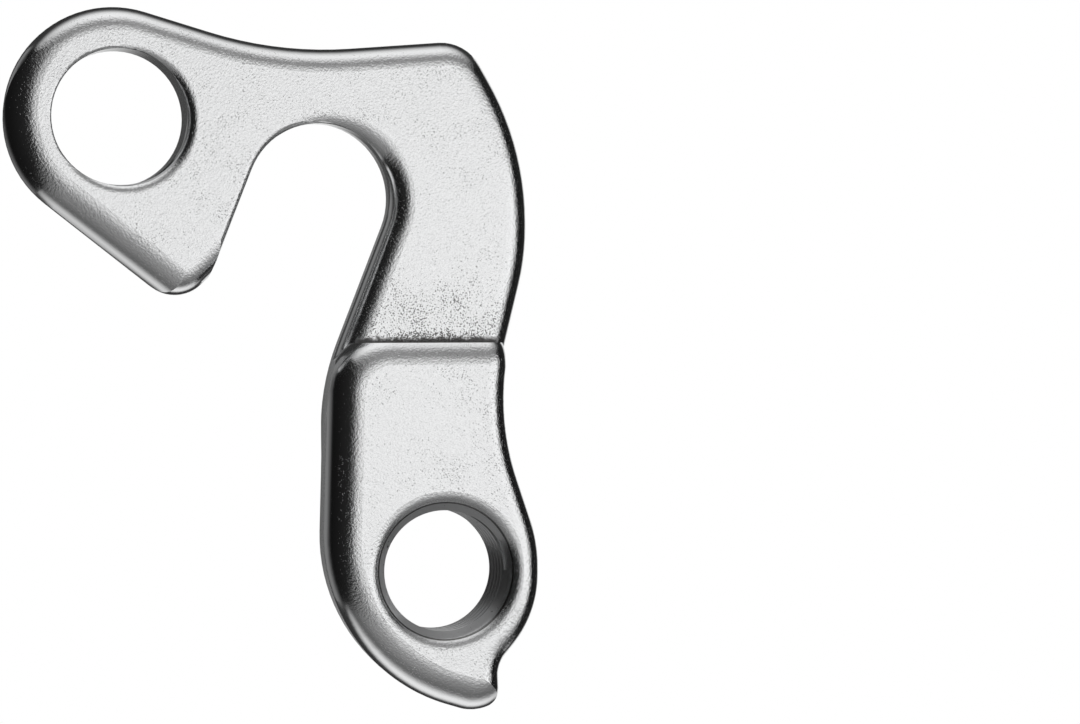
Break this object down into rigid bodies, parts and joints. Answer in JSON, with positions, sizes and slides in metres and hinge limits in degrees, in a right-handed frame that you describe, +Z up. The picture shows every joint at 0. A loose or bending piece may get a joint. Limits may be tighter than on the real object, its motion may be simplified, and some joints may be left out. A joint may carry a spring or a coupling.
{
  "type": "bicycle derailleur hanger",
  "caption": "Forged aluminium derailleur hanger: bolt lug, open axle slot and curved arm, stepping forward to a thicker leg with the threaded derailleur hole and a stop notch at its tail.",
  "frame": {"origin": "on the axis of the frame-bolt hole, in the parting plane of the forging, 2 mm behind the upper front face", "axes": "+X from the lug to the arm, +Z up, +Y from the front face to the back face, along both holes"},
  "size_m": [0.0393, 0.0082, 0.052],
  "materials": {
    "bright_aluminium": "forged and tumbled bright, finely grained flats with polished rounds"
  },
  "bodies": {
    "root": {"hanger_body": "bright_aluminium"}
  },
  "joints": []
}
